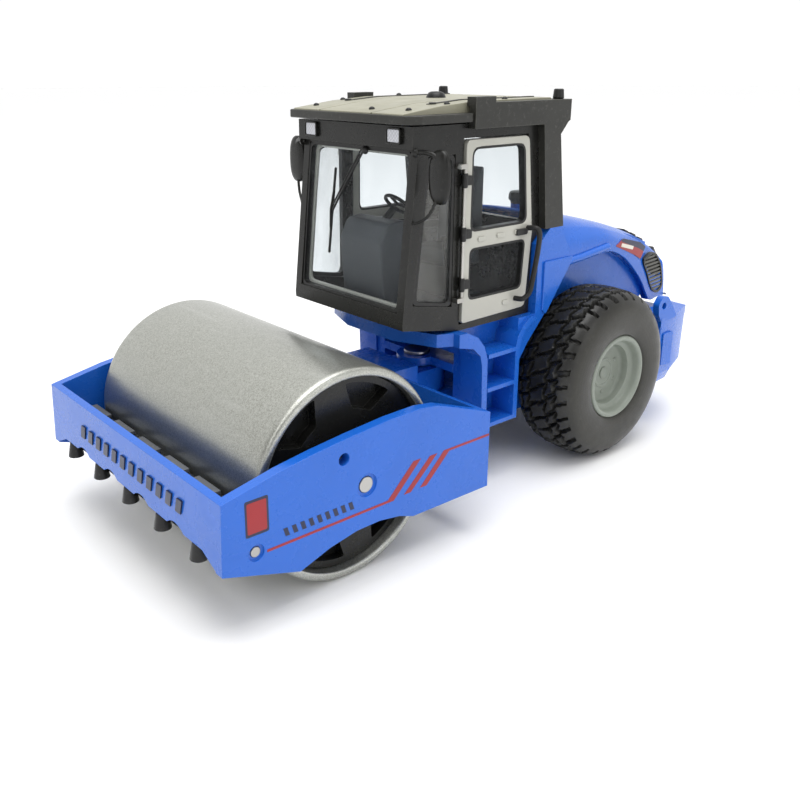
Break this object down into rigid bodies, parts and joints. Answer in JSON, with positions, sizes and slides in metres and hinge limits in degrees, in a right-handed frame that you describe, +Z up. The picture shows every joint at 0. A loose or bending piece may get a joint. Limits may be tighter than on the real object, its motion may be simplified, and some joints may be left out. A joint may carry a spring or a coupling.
{
  "type": "toy road roller",
  "caption": "Toy road roller with a smooth steel drum in a pivoting front frame, two rubber rear tyres, a glazed cab with opening doors and a tilting engine hood.",
  "frame": {"origin": "on the ground, under the middle of the whole toy's bounding box", "axes": "+X forward towards the drum, +Y to the vehicle's left, +Z up"},
  "size_m": [0.165, 0.0736, 0.0904],
  "materials": {
    "blue_body": "gloss, royal blue enamel on die-cast metal",
    "silver_flake": "metallic silver enamel",
    "cab_black": "satin black moulded plastic",
    "door_beige": "satin silver-beige paint",
    "roof_grey": "satin dark grey",
    "black_trim": "matt black moulded plastic",
    "pad_grey": "matt mid grey",
    "tyre": "matt black rubber with block tread",
    "rim_grey": "satin grey",
    "steel": "turned bright steel",
    "engine_grey": "matt dark grey",
    "interior": "matt dark grey",
    "glass": "clear, slightly tinted acrylic",
    "lamp_amber": "clear amber plastic",
    "lamp_white": "moulded, silvered lens",
    "lamp_grey": "translucent grey lens"
  },
  "bodies": {
    "rear_unit": {"chassis": "blue_body", "articulation_pin": "steel", "base_plate": "black_trim", "base_screws": "steel", "cab_platform": "blue_body", "hood_hinge_pin": "steel", "counterweight": "blue_body", "filler_knob": "black_trim", "radiator": "engine_grey", "engine_block": "engine_grey", "cab_frame": "cab_black", "windshield": "glass", "rear_window": "glass", "quarter_glass_left": "glass", "quarter_glass_right": "glass", "door_pin_left": "steel", "door_pin_right": "steel", "roof_panel": "roof_grey", "rops_frame": "roof_grey", "roof_bolts": "roof_grey", "corner_knobs": "cab_black", "roof_beacon": "lamp_amber", "work_lights": "lamp_white", "mirror_left": "cab_black", "mirror_right": "cab_black", "wiper": "cab_black", "cab_floor": "interior", "seat": "interior", "console": "interior", "steering_wheel": "interior"},
    "front_unit": {"front_frame": "blue_body", "front_scraper": "black_trim", "scraper_pads": "pad_grey", "scraper_rod": "steel", "rear_scraper": "black_trim"},
    "drum": {"drum_shell": "silver_flake", "drum_end_left": "black_trim", "drum_end_right": "black_trim", "drum_axle": "steel"},
    "rear_wheels": {"tyre_left": "tyre", "tyre_right": "tyre", "rim_left": "rim_grey", "rim_right": "rim_grey", "rear_axle": "steel"},
    "hood_shell": {"hood": "blue_body", "intake_cap": "black_trim", "hood_side_grille_left": "black_trim", "hood_side_grille_right": "black_trim", "hood_rear_grille": "black_trim", "hood_louvre_insert": "black_trim", "tail_lamps": "lamp_grey"},
    "left_door": {"door_left": "door_beige", "door_glass_left": "glass", "door_hinges_left": "black_trim", "grab_bar_left": "cab_black"},
    "right_door": {"door_right": "door_beige", "door_glass_right": "glass", "door_hinges_right": "black_trim", "grab_bar_right": "cab_black"}
  },
  "joints": [
    {"name": "articulation", "type": "hinge", "parent": "rear_unit", "child": "front_unit", "pos_m": [0.0039, 0, 0.023], "axis": [0, 0, 1], "range_deg": [-30, 30]},
    {"name": "drum_spin", "type": "hinge", "parent": "front_unit", "child": "drum", "pos_m": [0.0503, 0, 0.0215], "axis": [0, 1, 0], "continuous": true},
    {"name": "wheel_spin", "type": "hinge", "parent": "rear_unit", "child": "rear_wheels", "pos_m": [-0.0348, 0, 0.0215], "axis": [0, 1, 0], "continuous": true},
    {"name": "hood_open", "type": "hinge", "parent": "rear_unit", "child": "hood_shell", "pos_m": [-0.0168, 0, 0.0498], "axis": [0, 1, 0], "range_deg": [0, 30]},
    {"name": "door_left_open", "type": "hinge", "parent": "rear_unit", "child": "left_door", "pos_m": [0.0098, 0.02025, 0.06], "axis": [0, 0, -1], "range_deg": [0, 75]},
    {"name": "door_right_open", "type": "hinge", "parent": "rear_unit", "child": "right_door", "pos_m": [0.0098, -0.02025, 0.06], "axis": [0, 0, 1], "range_deg": [0, 75]}
  ]
}
